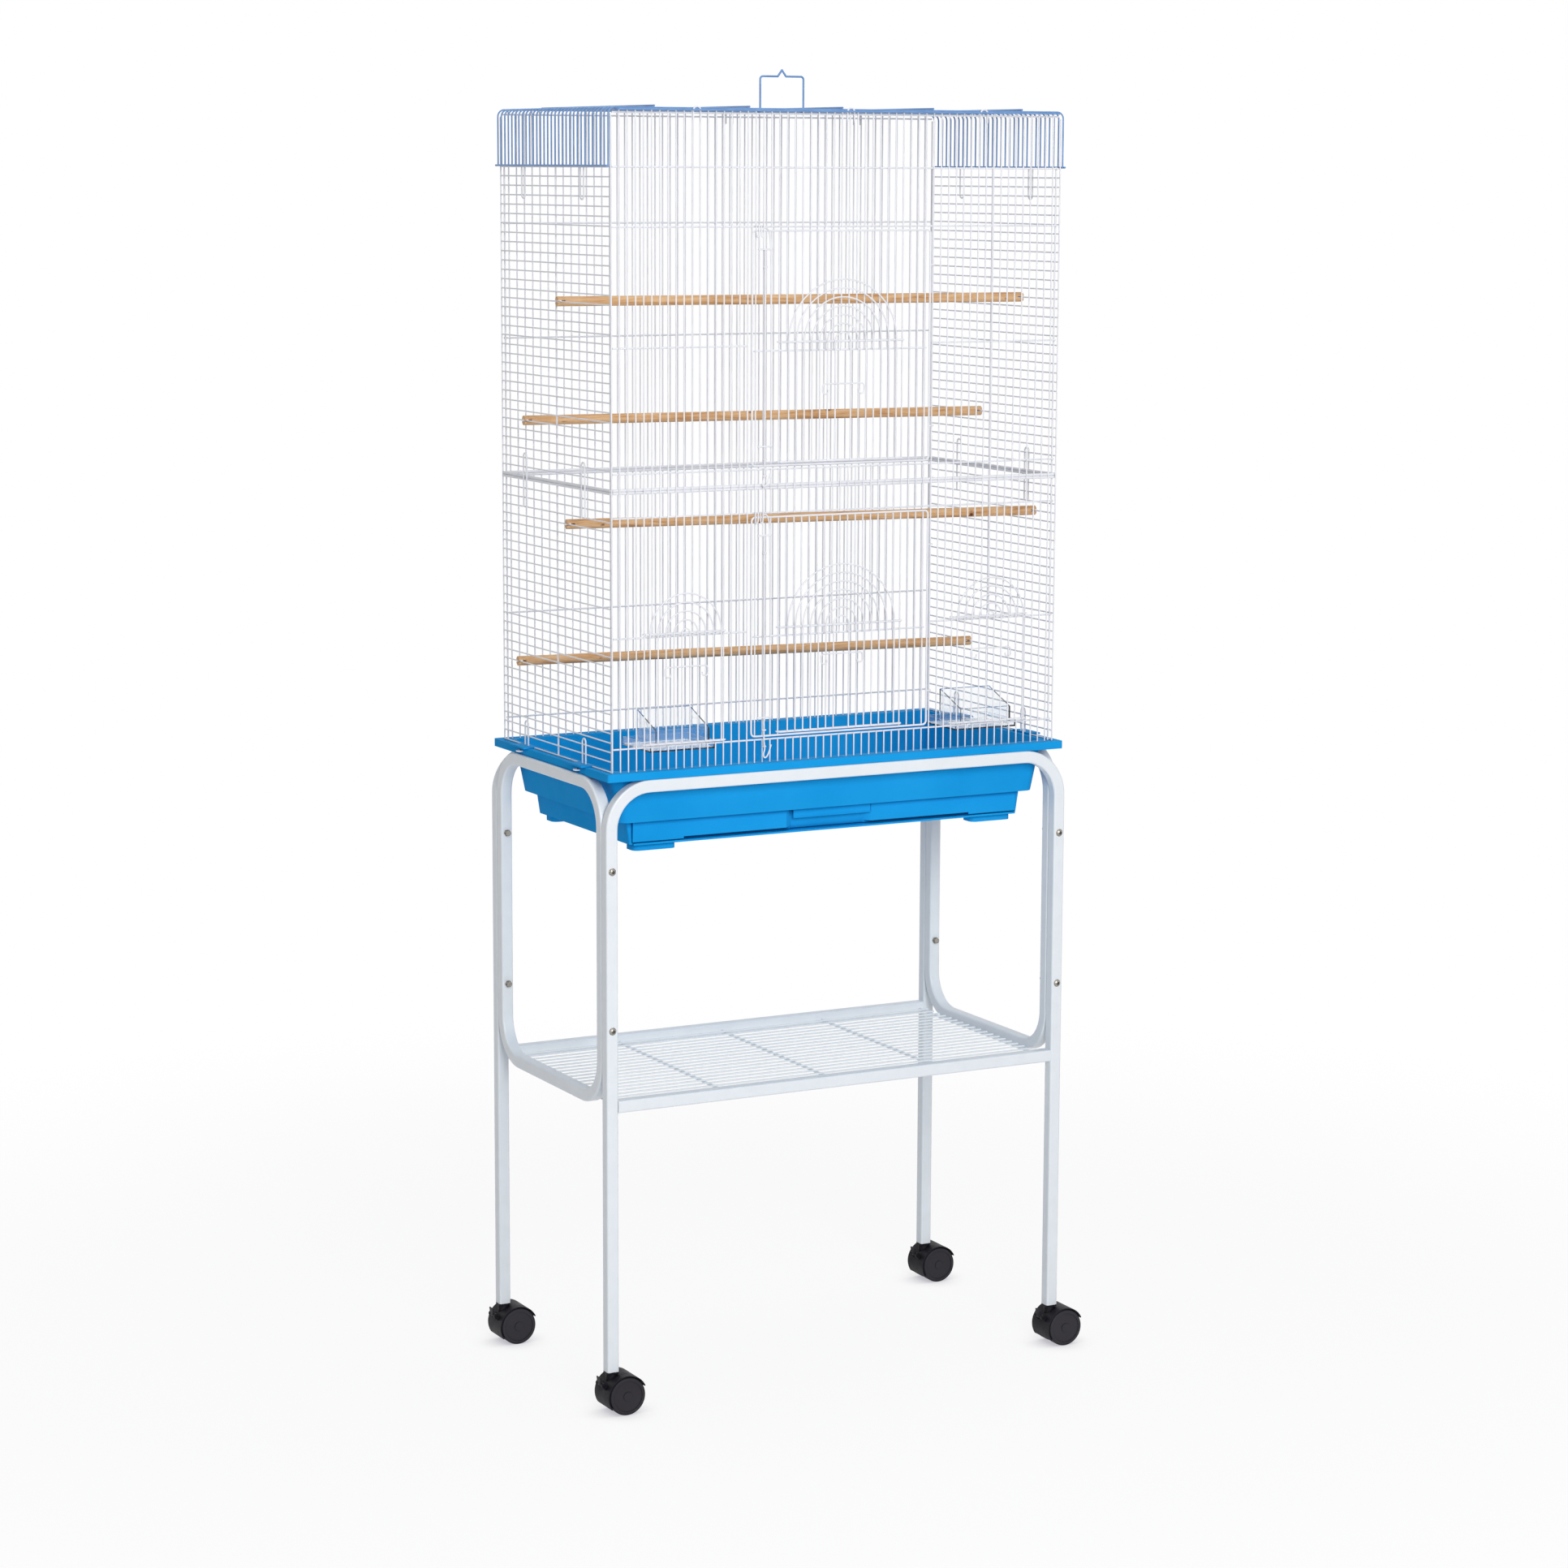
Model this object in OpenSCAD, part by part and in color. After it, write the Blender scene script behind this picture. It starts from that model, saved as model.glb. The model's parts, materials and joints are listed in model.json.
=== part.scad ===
// Flight bird cage on a rolling stand, in millimetres.
// X runs along the front, Y from front to back, Z up. The origin is on the floor under the middle.

/* [Cage] */
// Number of gaps between the upright wires of the front
front_bays = 58; // [56:2:64]
// Number of gaps between the roof wires, front to back
side_bays = 30; // [28:2:34]
// Spacing of the upright wires and of the roof wires
bar_pitch = 11.1; // [10.6:0.1:12]
// Spacing of the level wires of the two sides
side_pitch = 12; // [11:0.5:14]
// Height of the lower storey, from the rim of the base
lower_h = 351.2; // [345:0.1:380]
// Height of the upper storey, up to the roof's skirt
upper_h = 397.8; // [390:0.1:430]
// Height of the roof's skirt
skirt_h = 72; // [50:1:90]

/* [Wire] */
// Diameter of the fine cage wires
wire_d = 1.8; // [1.6:0.1:2.2]
// Diameter of the cross bars behind the fine wires
bar_d = 2.2; // [2:0.1:3]
// Diameter of the bars where the two storeys meet
mid_d = 3.5; // [3:0.1:4.5]
// Diameter of the roof wires
roof_d = 2; // [1.8:0.1:2.6]
// Diameter of the cross bars on the roof and of the skirt's hem
roof_bar_d = 2.6; // [2.2:0.1:3.2]
// Bend radius of the roof wires
roof_bend_r = 9; // [6:0.5:16]
// Distance from the side wires out to the skirt wires
skirt_out = 3.6; // [3.2:0.1:6]
// Number of cross bars on the roof
roof_bars = 5; // [3:2:7]
// Spacing of the cross bars on the roof
roof_bar_pitch = 131.5; // [110:0.5:140]
// Distance from the front or back wires to the posts of the sides
post_inset = 6.5; // [5:0.1:12]
// Distance from the roof wires down to the top bars of the front and back
top_bar_drop = 6; // [5:0.5:20]
// Height of the split bar across the upper storey, above the middle
upper_rail_h = 176.8; // [160:0.1:200]
// Height of the split bar across the lower storey, above the rim
lower_rail_h = 168; // [150:0.5:190]

/* [Doors] */
// Half width of a main door, to the middle of its frame wire
door_half_w = 128; // [126:0.5:130]
// Diameter of the main doors' frame wire
door_frame_d = 2.4; // [2.2:0.1:3.6]
// Corner radius of the main doors' frame wire
door_corner_r = 5; // [4:0.5:20]
// Foot of the upper main door, above the middle
upper_door_lift = 26.8; // [24:0.1:34]
// Head of the upper main door, below the skirt
upper_door_drop = 78; // [60:1:90]
// Foot of the lower main door, above the rim
lower_door_lift = 34; // [32:0.5:44]
// Head of the lower main door, below the middle
lower_door_drop = 38.2; // [34:0.1:46]
// Gap between a main door and the bars round its opening
door_gap = 5; // [4:0.5:7]
// Upright wires from the middle to the hinge wire
hinge_wire = 12; // [12]
// Distance of the hinge eyes from the head and foot of a main door
hinge_inset = 44; // [30:1:60]
// Bar to bar height of the upper lift door
upper_lift_h = 150.5; // [145:0.5:156]
// Bar to bar height of the lower lift door
lower_lift_h = 134; // [130:0.5:140]
// Number of arched wires in a lift door
lift_arches = 7; // [4:1:7]
// Bar to bar height of a feeder door
feeder_h = 139; // [136:0.5:150]
// Number of arched wires in a feeder door
feeder_arches = 5; // [3:1:5]
// Upright wires from the middle to a feeder door's centre
feeder_wire = 20; // [19:1:21]
// Diameter of the lift doors' level bars
lift_bar_d = 2.8; // [2.4:0.1:3.2]
// Distance from a lift door's foot bar up to the scroll of its handle
grip_lift = 97; // [60:1:100]
// Half width of a lift door's scroll handle
grip_half_w = 30; // [20:1:36]
// Diameter of a scroll handle's wire
grip_d = 1.8; // [1.6:0.1:2.4]

/* [Latches] */
// Upright wires from the middle to the latch rods
latch_wire = 10; // [10]
// Diameter of a latch rod
latch_d = 2; // [1.6:0.1:2.6]
// Diameter of the wire of the guide rings and hinge eyes
ring_d = 1.8; // [1.4:0.1:2]
// Length of a latch rod's cross handle
latch_tee_l = 20; // [12:1:22]
// Distance from a door's head to the latch's cross handle
latch_tee_drop = 23; // [15:1:30]
// Distance from a door's foot up to the latch's lower cross handle
latch_tee_lift = 24; // [23:0.5:40]
// Distance from a door's opening down to its keeper ring
keeper_drop = 8; // [6:0.5:10]

/* [Perches] */
// Diameter of a perch
perch_d = 12.5; // [9:0.5:14]
// Side wire that each perch hangs on, counted up or down from the middle
perch_rows = [19, 6, -4, -20];
// Left end of each perch, front to back
perch_left_y = [-10, 95, -36, 118];
// Right end of each perch, front to back
perch_right_y = [-72, 32, -112, 53];
// Length of a perch's end beyond the side wire
perch_tail = 1.2; // [0.6:0.1:3]

/* [Carry handle] */
// Diameter of the carry handle's wire
handle_d = 2.6; // [2:0.1:4]
// Width of the carry handle between its legs
handle_w = 63; // [50:1:90]
// Height of the carry handle above the roof wires
handle_h = 44; // [40:1:80]
// Height of the peak in the middle of the carry handle
handle_peak = 8; // [7:0.5:12]

/* [Cups] */
// Width of a cup
cup_w = 76; // [66:1:84]
// Width of the tray that a cup stands in
cup_tray_w = 92; // [88:1:98]
// Depth of a cup, front to back
cup_depth = 56; // [40:1:80]
// Height of a cup at its back
cup_h = 48; // [40:1:60]
// Height of a cup at its front
cup_front_h = 27; // [20:1:34]
// Depth of the tray behind a cup
cup_trough = 24; // [12:1:36]
// Height of a cup's tray
cup_trough_h = 10; // [8:1:20]
// Wall of a cup
cup_wall = 1.8; // [1.2:0.1:3]

/* [Base] */
// Height of the base's rim
rim_h = 10; // [6:0.5:16]
// Overhang of the rim beyond the cage's sides
rim_side = 11.1; // [9:0.1:14]
// Overhang of the rim beyond the cage's front and back
rim_front = 11.5; // [9:0.1:12]
// Wall of the base
base_wall = 2.5; // [2:0.1:3.5]
// Drop from the rim to the step inside the base
hopper_h = 65; // [50:1:90]
// Narrowing of the upper base from its mouth to the step, on each side
hopper_taper = 12; // [4:0.5:20]
// Width of the step inside the base
step_w = 14; // [10:0.5:24]
// Height of the drawer's housing below the step
housing_h = 33; // [30:0.5:60]
// Narrowing of the drawer's housing towards its foot
housing_taper = 5; // [2:0.5:8]
// Height of the feet under the base
foot_h = 9; // [4:0.5:20]

/* [Drawer] */
// Wall of the drawer
drawer_wall = 2; // [1.6:0.1:3]
// Depth of the recess in the drawer's front
recess_depth = 8; // [4:0.5:12]
// Width of the recess in the drawer's front
recess_w = 128; // [90:1:200]
// Width of the slanted ends of the recess
recess_slope = 12; // [9:0.5:13]
// Height of the slot under the drawer's front
drawer_lift = 2.6; // [1:0.1:4]
// Width of the slot under the drawer's front
drawer_lift_w = 420; // [300:1:480]
// Width of the drawer's pull lip
pull_w = 114; // [80:1:116]
// Height of the drawer's pull lip
pull_h = 11; // [6:0.5:14]

/* [Stand] */
// Height of the stand's rails, where the base rests
stand_h = 818; // [780:1:900]
// Outer size of the square tube
tube = 16; // [14:0.5:20]
// Wall of the square tube
tube_wall = 1.2; // [1:0.1:2]
// Rounding of the square tube's edges
tube_round = 2.5; // [1.5:0.1:4]
// Bend radius of the tube, to its middle
tube_bend_r = 54; // [40:1:80]
// Height of the shelf, to the middle of its rails
shelf_z = 402; // [300:1:460]
// Distance from the top of the rails down to the upper bolts
upper_bolt_drop = 113; // [100:1:160]
// Distance from the top of the rails down to the lower bolts
lower_bolt_drop = 317; // [240:1:330]
// Diameter of the bolts
bolt_d = 5; // [4:0.5:6]
// Number of long wires in the shelf
shelf_wires = 19; // [11:1:25]
// Diameter of the shelf's long wires
shelf_wire_d = 2.4; // [2:0.1:3.5]
// Diameter of the shelf's cross wires
shelf_cross_d = 3.6; // [3:0.1:5]

/* [Casters] */
// Diameter of a wheel
wheel_d = 50; // [40:1:60]
// Width of one wheel
wheel_w = 17; // [12:0.5:20]
// Width of the middle web between a pair of wheels
web_w = 9.4; // [8:0.2:12]
// Trail of the wheels behind the stem
caster_trail = 14; // [12:0.5:16]
// Wall of the hood over a pair of wheels
hood_wall = 1.4; // [1:0.1:2.5]
// Diameter of a caster's stem
stem_d = 8; // [6:0.5:9]
// Length of a caster's stem in its socket
stem_l = 32; // [20:1:45]
// Diameter of a caster's axle
axle_d = 6; // [5:0.5:8]
// Reach of the brake lever from the stem
lever_reach = 27; // [22:1:32]
// Width of the brake lever
lever_w = 12; // [8:0.5:16]

/* [Hidden] */
$fn = 48;

// Gaps: a weld between two wires, a running ring, two parts that pass each other, a press seat
weld_gap = 0.05;
ring_gap = 0.25;
pass_gap = 0.4;
seat_gap = 0.02;
tiny = 0.01;

// Heights
rim_top = stand_h + rim_h;
mid_z = rim_top + lower_h;
skirt_z = mid_z + upper_h;
roof_z = skirt_z + skirt_h;
upper_bar_z = mid_z + mid_d / 2 + weld_gap;
lower_bar_z = mid_z - mid_d / 2 - weld_gap;
upper_door = [mid_z + upper_door_lift, skirt_z - upper_door_drop];
lower_door = [rim_top + lower_door_lift, mid_z - lower_door_drop];
upper_opening = [upper_door[0] - door_gap, upper_door[1] + door_gap];
lower_opening = [lower_door[0] - door_gap, lower_door[1] + door_gap];
upper_rail_z = mid_z + upper_rail_h;
lower_rail_z = rim_top + lower_rail_h;

// Plan of the cage
half_bays = front_bays / 2;
cage_x = half_bays * bar_pitch;
cage_y = side_bays / 2 * bar_pitch;
corner_gap = 0.7;
bar_end_x = cage_x - mid_d / 2 - pass_gap;
row_end_y = cage_y - wire_d / 2 - corner_gap;
post_y = cage_y - post_inset;
hinge_x = hinge_wire * bar_pitch;
skirt_x = cage_x + skirt_out;

// Layers of wire in front of and behind the front's upright wires
function behind(y, d_front, d_back) = y + d_front / 2 + weld_gap + d_back / 2;
function before(y, d_back, d_front, gap) = y - d_back / 2 - gap - d_front / 2;
front_y = -cage_y;
bar_y = behind(front_y, wire_d, bar_d);
mid_bar_y = behind(front_y, wire_d, mid_d);
ring_r = wire_d / 2 + ring_gap + ring_d / 2;
frame_y = front_y - ring_r;
door_wire_y = behind(frame_y, door_frame_d, wire_d);
door_bar_y = behind(door_wire_y, wire_d, bar_d);
latch_y = before(frame_y, door_frame_d, latch_d, pass_gap);

// Lift doors
lift_ring_wires = lift_arches + 1;
feeder_half_w = feeder_arches * bar_pitch;
lift_foot_gap = 4;
lift_cross_drop = 11;
grip_curl_r = 4;
grip_leg = 9;

// Base and stand
rim_x = cage_x + rim_side;
rim_y = cage_y + rim_front;
leg_out = [3.4, 1.1];
leg_x = rim_x + leg_out[0] - tube / 2;
frame_leg_y = rim_y + leg_out[1] - tube / 2;
side_leg_y = frame_leg_y - tube;
rail_z = stand_h - tube / 2;
upper_bolt_z = stand_h - upper_bolt_drop;
lower_bolt_z = stand_h - lower_bolt_drop;
mouth_gap = [4.4, 4.1];
mouth_x = leg_x - tube / 2 - mouth_gap[0];
mouth_y = frame_leg_y - tube / 2 - mouth_gap[1];
mouth_round = 14;
step_z = rim_top - hopper_h;
step_x = mouth_x - hopper_taper;
step_y = mouth_y - hopper_taper / 2;
housing_x = step_x - step_w;
housing_y = step_y - step_w;
housing_z = step_z - housing_h;
rim_plate = 2.5;
rim_round = 4;
housing_round = 3;
flap_w = 42;
flap_h = 2;
flap_l = 18;
flap_out = 6;
lip_drop = 0.8;
lip_out = 1;
lip_depth = 16;
lip_end = 4;
foot_half = [30, 14];
foot_in = [42, 16];
foot_round = 8;
drawer_proud = 3;

// Casters
socket_flange = 2.5;
caster_gap = 0.7;
wheel_z = wheel_d / 2;
hood_gap = 0.8;
hood_in_r = wheel_d / 2 + hood_gap;
hood_r = hood_in_r + hood_wall;
socket_z = wheel_z + hood_r + caster_gap;
leg_foot_z = socket_z + socket_flange;
bore_gap = 0.08;
wheel_gap = 0.6;
lever_pin_d = 4;
lever_t = 2;
collar_d = 14;

white = "whitesmoke";
blue = "dodgerblue";
roof_blue = "cornflowerblue";
wood = "burlywood";
clear = [0.85, 0.92, 0.98, 0.35];
black = "dimgray";
zinc = "silver";

// Size of the bead where two straight wires meet at an angle, against the wire
bead = 1.06;

// Helpers

// Straight wire from a to b
module rod(a, b, d) {
    v = b - a;
    translate(a)
        rotate([0, acos(v[2] / norm(v)), atan2(v[1], v[0])])
            cylinder(d = d, h = norm(v));
}

module rod_x(half, y, z, d) rod([-half, y, z], [half, y, z], d);
module rod_y(x, half, z, d) rod([x, -half, z], [x, half, z], d);
module rod_z(x, y, z, d) rod([x, y, z[0]], [x, y, z[1]], d);

// Turn of a wire eye, from its arm round to its end
eye_turn = 262;

// Turns a drawing in the plane into a front view at depth y, or into a side view at x
module on_front(y) translate([0, y, 0]) rotate([90, 0, 0]) children();
module on_side(x) translate([x, 0, 0]) rotate([90, 0, 90]) children();

// Bends of a path with straight legs: direction of a leg, turn at a corner, length lost to its bend
function leg_dir(p, i) = (p[i + 1] - p[i]) / norm(p[i + 1] - p[i]);
function turn(u, v) = atan2(u[0] * v[1] - u[1] * v[0], u * v);
function bend_cut(p, r, i) = i == 0 || i == len(p) - 1 ? 0
    : r * tan(abs(turn(leg_dir(p, i - 1), leg_dir(p, i))) / 2);

// Runs a section along a flat path: children(0) is the section, with its own Y out of the plane
module bent(p, r) {
    for (i = [0 : len(p) - 2]) {
        u = leg_dir(p, i);
        a = p[i] + u * bend_cut(p, r, i);
        b = p[i + 1] - u * bend_cut(p, r, i + 1);
        if (norm(b - a) > tiny)
            translate([a[0], a[1], 0])
                rotate([90, 0, 90 + atan2(u[1], u[0])]) linear_extrude(norm(b - a)) children();
    }
    for (i = [1 : 1 : len(p) - 2]) {
        u = leg_dir(p, i - 1);
        w = turn(u, leg_dir(p, i));
        start = p[i] - u * bend_cut(p, r, i);
        centre = start + r * sign(w) * [-u[1], u[0]];
        from = atan2(start[1] - centre[1], start[0] - centre[0]);
        translate([centre[0], centre[1], 0])
            rotate([0, 0, w > 0 ? from : from + w])
                rotate_extrude(angle = abs(w)) translate([r, 0]) children();
    }
}

module bent_wire(p, r, d) bent(p, r) circle(d = d);

ring_arm_d = ring_d - 0.3;
// Small ring of wire with its hole upright, round the point x, y
module ring(x, y, z, hole_d) {
    r = hole_d / 2 + ring_gap + ring_d / 2;
    translate([x, y, z]) rotate_extrude() translate([r, 0]) circle(d = ring_d);
}

// Rectangle with round corners, centred
module rounded(w, h, r) {
    square([w - 2 * r, h], center = true);
    square([w, h - 2 * r], center = true);
    for (x = [-1, 1], y = [-1, 1])
        translate([x * (w / 2 - r), y * (h / 2 - r)]) circle(r);
}

// Section of the stand's square tube
module tube_section() difference() {
    rounded(tube, tube, tube_round);
    rounded(tube - 2 * tube_wall, tube - 2 * tube_wall, tube_round - tube_wall);
}

// Flat slab with round corners
module slab(half_x, half_y, r, z, h)
    translate([0, 0, z]) linear_extrude(h) rounded(2 * half_x, 2 * half_y, r);

// Tapered box with round corners, from z[0] to z[1]
module tapered(low, high, r, z) hull() {
    slab(low[0], low[1], r, z[0], tiny, $fn = 32);
    slab(high[0], high[1], r, z[1] - tiny, tiny, $fn = 32);
}

// Cage panels

// Upright wires of a front or back, from z[0] to z[1]; the corner wires stop below the roof's bends
function corner_cut(k, z) = abs(k) == half_bays ? [z[0], min(z[1], roof_z - roof_bend_r)] : z;
module uprights(y, z) for (k = [-half_bays : half_bays])
    rod_z(k * bar_pitch, y, corner_cut(k, z), wire_d);

// Upright wires of the front; a cut is a range of wires and the two heights between which they are open
module split_uprights(z, cuts) for (k = [-half_bays : half_bays]) {
    hit = [for (c = cuts) if (abs(k) >= c[0] && abs(k) <= c[1]) c];
    x = k * bar_pitch;
    if (len(hit) == 0) {
        rod_z(x, front_y, corner_cut(k, z), wire_d);
    } else {
        rod_z(x, front_y, [z[0], hit[0][2] + bar_d / 2], wire_d);
        rod_z(x, front_y, [hit[0][3] - bar_d / 2, z[1]], wire_d);
    }
}

// Bar across the front that stops at the main door on both sides
module split_bar(z) for (s = [-1, 1]) rod([s * hinge_x, bar_y, z], [s * bar_end_x, bar_y, z], bar_d);

upper_span = [mid_z + weld_gap, roof_z - roof_d / 2 - weld_gap];
lower_span = [rim_top + weld_gap, mid_z - weld_gap];
top_bar_z = roof_z - top_bar_drop;
upper_bars = [upper_opening[0], upper_opening[1], skirt_z, top_bar_z];
lower_bars = [lower_opening[0], lower_opening[1]];

// Keeper ring under a main door, which a latch rod drops into
module keeper(z) {
    x = -latch_wire * bar_pitch;
    ring(x, latch_y, z, latch_d);
    reach = latch_d / 2 + ring_gap + ring_d / 2;
    rod([x, latch_y + reach, z], [x, front_y - wire_d / 2 - weld_gap, z], ring_arm_d);
}

module upper_front_panel() color(white) {
    split_uprights(upper_span, [[0, hinge_wire - 1, upper_opening[0], upper_opening[1]]]);
    for (z = upper_bars) rod_x(bar_end_x, bar_y, z, bar_d);
    split_bar(upper_rail_z);
    rod_x(bar_end_x, mid_bar_y, upper_bar_z, mid_d);
    keeper(upper_opening[0] - keeper_drop);
}

module lower_front_panel() color(white) {
    split_uprights(lower_span, [
        [0, hinge_wire - 1, lower_opening[0], lower_opening[1]],
        [feeder_wire - feeder_arches + 1, feeder_wire + feeder_arches - 1, lower_opening[0], lower_rail_z]
    ]);
    for (z = lower_bars) rod_x(bar_end_x, bar_y, z, bar_d);
    split_bar(lower_rail_z);
    rod_x(bar_end_x, mid_bar_y, lower_bar_z, mid_d);
    keeper(lower_opening[0] - keeper_drop);
}

module upper_back_panel() color(white) {
    uprights(cage_y, upper_span);
    for (z = [upper_rail_z, upper_opening[1], skirt_z, top_bar_z]) rod_x(bar_end_x, -bar_y, z, bar_d);
    rod_x(bar_end_x, -mid_bar_y, upper_bar_z, mid_d);
}

module lower_back_panel() color(white) {
    uprights(cage_y, lower_span);
    for (z = [lower_opening[0], lower_rail_z]) rod_x(bar_end_x, -bar_y, z, bar_d);
    rod_x(bar_end_x, -mid_bar_y, lower_bar_z, mid_d);
}

// Rows of level wire on a side, counted away from its bar at the middle
upper_rows = floor((skirt_z - upper_bar_z) / side_pitch + tiny);
lower_rows = floor((lower_bar_z - rim_top) / side_pitch - 1);
function row_z(n) = n > 0 ? upper_bar_z + n * side_pitch : lower_bar_z + n * side_pitch;

module side_panel(s, rows, bar_z, span) color(white) {
    for (n = rows) rod_y(s * cage_x, row_end_y, row_z(n), wire_d);
    rod_y(s * cage_x, row_end_y, bar_z, mid_d);
    post_x = s * (cage_x - wire_d / 2 - weld_gap - bar_d / 2);
    for (y = [-post_y, 0, post_y]) rod_z(post_x, y, span, bar_d);
}

upper_post = [upper_bar_z + mid_d / 2 + weld_gap, row_z(upper_rows) + wire_d];
lower_post = [rim_top + weld_gap, lower_bar_z - mid_d / 2 - weld_gap];
module upper_side(s) side_panel(s, [1 : upper_rows], upper_bar_z, upper_post);
module lower_side(s) side_panel(s, [-lower_rows : -1], lower_bar_z, lower_post);
module upper_left_panel() upper_side(-1);
module upper_right_panel() upper_side(1);
module lower_left_panel() lower_side(-1);
module lower_right_panel() lower_side(1);

// Roof of bent wires, whose ends hang down as a skirt on the left and right
module roof() color(roof_blue) {
    path = [[-skirt_x, skirt_z], [-skirt_x, roof_z], [skirt_x, roof_z], [skirt_x, skirt_z]];
    for (k = [-side_bays / 2 : side_bays / 2]) on_front(k * bar_pitch) bent_wire(path, roof_bend_r, roof_d);
    first = (roof_bars - 1) / 2;
    top_z = roof_z + roof_d / 2 + weld_gap + roof_bar_d / 2;
    for (k = [-first : first]) rod_y(k * roof_bar_pitch, cage_y, top_z, roof_bar_d);
    hem_x = skirt_x + roof_d / 2 + weld_gap + roof_bar_d / 2;
    for (s = [-1, 1]) rod_y(s * hem_x, cage_y + roof_d, skirt_z + roof_bar_d / 2, roof_bar_d);
}

// Bail with a peak, bent at its feet into two eyes round the middle roof wire
handle_peak_half = 6;
handle_bend_r = 4;
module carry_handle() color(roof_blue) translate([0, 0, roof_z]) {
    half = handle_w / 2;
    eye_r = roof_d / 2 + ring_gap + handle_d / 2;
    peak_foot = [-handle_peak_half, -eye_r, handle_h];
    peak_top = [0, -eye_r, handle_h + handle_peak];
    for (s = [0, 1]) mirror([s, 0, 0]) {
        on_front(-eye_r)
            bent_wire([[-half, 0], [-half, handle_h], [-handle_peak_half, handle_h]], handle_bend_r, handle_d);
        rod(peak_foot, peak_top, handle_d);
        translate(peak_foot) sphere(d = handle_d * bead);
    }
    translate(peak_top) sphere(d = handle_d * bead);
    for (s = [-1, 1]) on_side(s * half) rotate(180)
        rotate_extrude(angle = eye_turn) translate([eye_r, 0]) circle(d = handle_d);
}

// Hairpin clips on the sides
clip_d = 2;
clip_half_w = 5;
clip_y = 8 * bar_pitch;
clip_x = cage_x + mid_d / 2 + weld_gap + clip_d / 2;
module hairpin(s, y, closed_z, open_z) on_side(s * clip_x) bent_wire([
    [y - clip_half_w, open_z], [y - clip_half_w, closed_z],
    [y + clip_half_w, closed_z], [y + clip_half_w, open_z]
], clip_half_w - tiny, clip_d);

module clips(closed_z, open_z) color(white)
    for (s = [-1, 1], t = [-1, 1]) hairpin(s, t * clip_y, closed_z, open_z);

top_clip_l = 40;
mid_clip_up = 32;
mid_clip_down = 38;
base_clip_l = 34;
roof_hook_x = [-18.5, 1, 18.5] * bar_pitch;
roof_hook_up = 2;
roof_hook_down = 15;
module roof_hook(t, x) on_front(t * (cage_y + roof_d / 2 + weld_gap + clip_d / 2)) bent_wire([
    [x - clip_half_w, roof_z - roof_hook_down], [x - clip_half_w, roof_z + roof_hook_up],
    [x + clip_half_w, roof_z + roof_hook_up], [x + clip_half_w, roof_z - roof_hook_down]
], clip_half_w - tiny, clip_d);

module top_clips() {
    clips(skirt_z - top_clip_l, skirt_z - pass_gap);
    color(white) for (t = [-1, 1], x = roof_hook_x) roof_hook(t, x);
}

module middle_clips() clips(mid_z + mid_clip_up, mid_z - mid_clip_down);

// Loop of a base clip, which comes out under its flap
loop_out = 6;
module base_loop(y) translate([0, 0, rim_top - rim_h / 2]) bent_wire([
    [rim_x + weld_gap, y - clip_half_w], [rim_x + loop_out, y - clip_half_w],
    [rim_x + loop_out, y + clip_half_w], [rim_x + weld_gap, y + clip_half_w]
], clip_half_w - tiny, clip_d);

module base_clips() {
    clips(rim_top + base_clip_l, rim_top + flap_h + weld_gap);
    color(white) for (s = [0, 1], t = [-1, 1]) mirror([s, 0, 0]) base_loop(t * clip_y);
}

// Main doors

// Guide ring for a latch rod, on a wire of the door
module latch_guide(z) {
    x = -latch_wire * bar_pitch;
    ring(x, latch_y, z, latch_d);
    reach = latch_d / 2 + ring_gap + ring_d / 2;
    rod([x, latch_y + reach, z], [x, door_wire_y - wire_d / 2 - weld_gap, z], ring_arm_d);
}

// Wire eye round the hinge wire, bent from an arm on the door's frame
module hinge_eye(z) {
    translate([hinge_x, front_y, z]) rotate(-90)
        rotate_extrude(angle = eye_turn) translate([ring_r, 0]) circle(d = ring_d);
    rod([hinge_x, frame_y, z], [door_half_w, frame_y, z], ring_d);
}

latch_guide_head = 45;
latch_guide_foot = 8;
module main_door(z, lift_h) color(white) {
    cross_z = z[0] + lift_foot_gap + lift_h - lift_cross_drop;
    on_front(frame_y) bent_wire([
        [-door_half_w, (z[0] + z[1]) / 2], [-door_half_w, z[1]], [door_half_w, z[1]],
        [door_half_w, z[0]], [-door_half_w, z[0]], [-door_half_w, (z[0] + z[1]) / 2]
    ], door_corner_r, door_frame_d);
    for (k = [1 - hinge_wire : hinge_wire - 1])
        rod_z(k * bar_pitch, door_wire_y, [abs(k) > lift_arches ? z[0] : cross_z - bar_d / 2, z[1]], wire_d);
    rod_x(door_half_w - door_frame_d, door_bar_y, cross_z, bar_d);
    for (eye_z = [z[0] + hinge_inset, z[1] - hinge_inset]) hinge_eye(eye_z);
    for (guide_z = [z[0] + latch_guide_foot, z[1] - latch_guide_head]) latch_guide(guide_z);
}

module upper_main_door() main_door(upper_door, upper_lift_h);
module lower_main_door() main_door(lower_door, lower_lift_h);

// Lift doors: arched wires on two bars, which run up and down on guide wires at guide_y

// Scroll handle in front of a lift door
module scroll_grip(z) {
    half = grip_half_w;
    path = [[0, z], [half, z], [half, z - grip_leg - grip_curl_r], [half - 2 * grip_curl_r - tiny,
        z - grip_leg - grip_curl_r], [half - 2 * grip_curl_r - tiny, z - grip_leg + 1]];
    for (s = [0, 1]) mirror([s, 0, 0]) bent_wire(path, grip_curl_r, grip_d);
}

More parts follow.
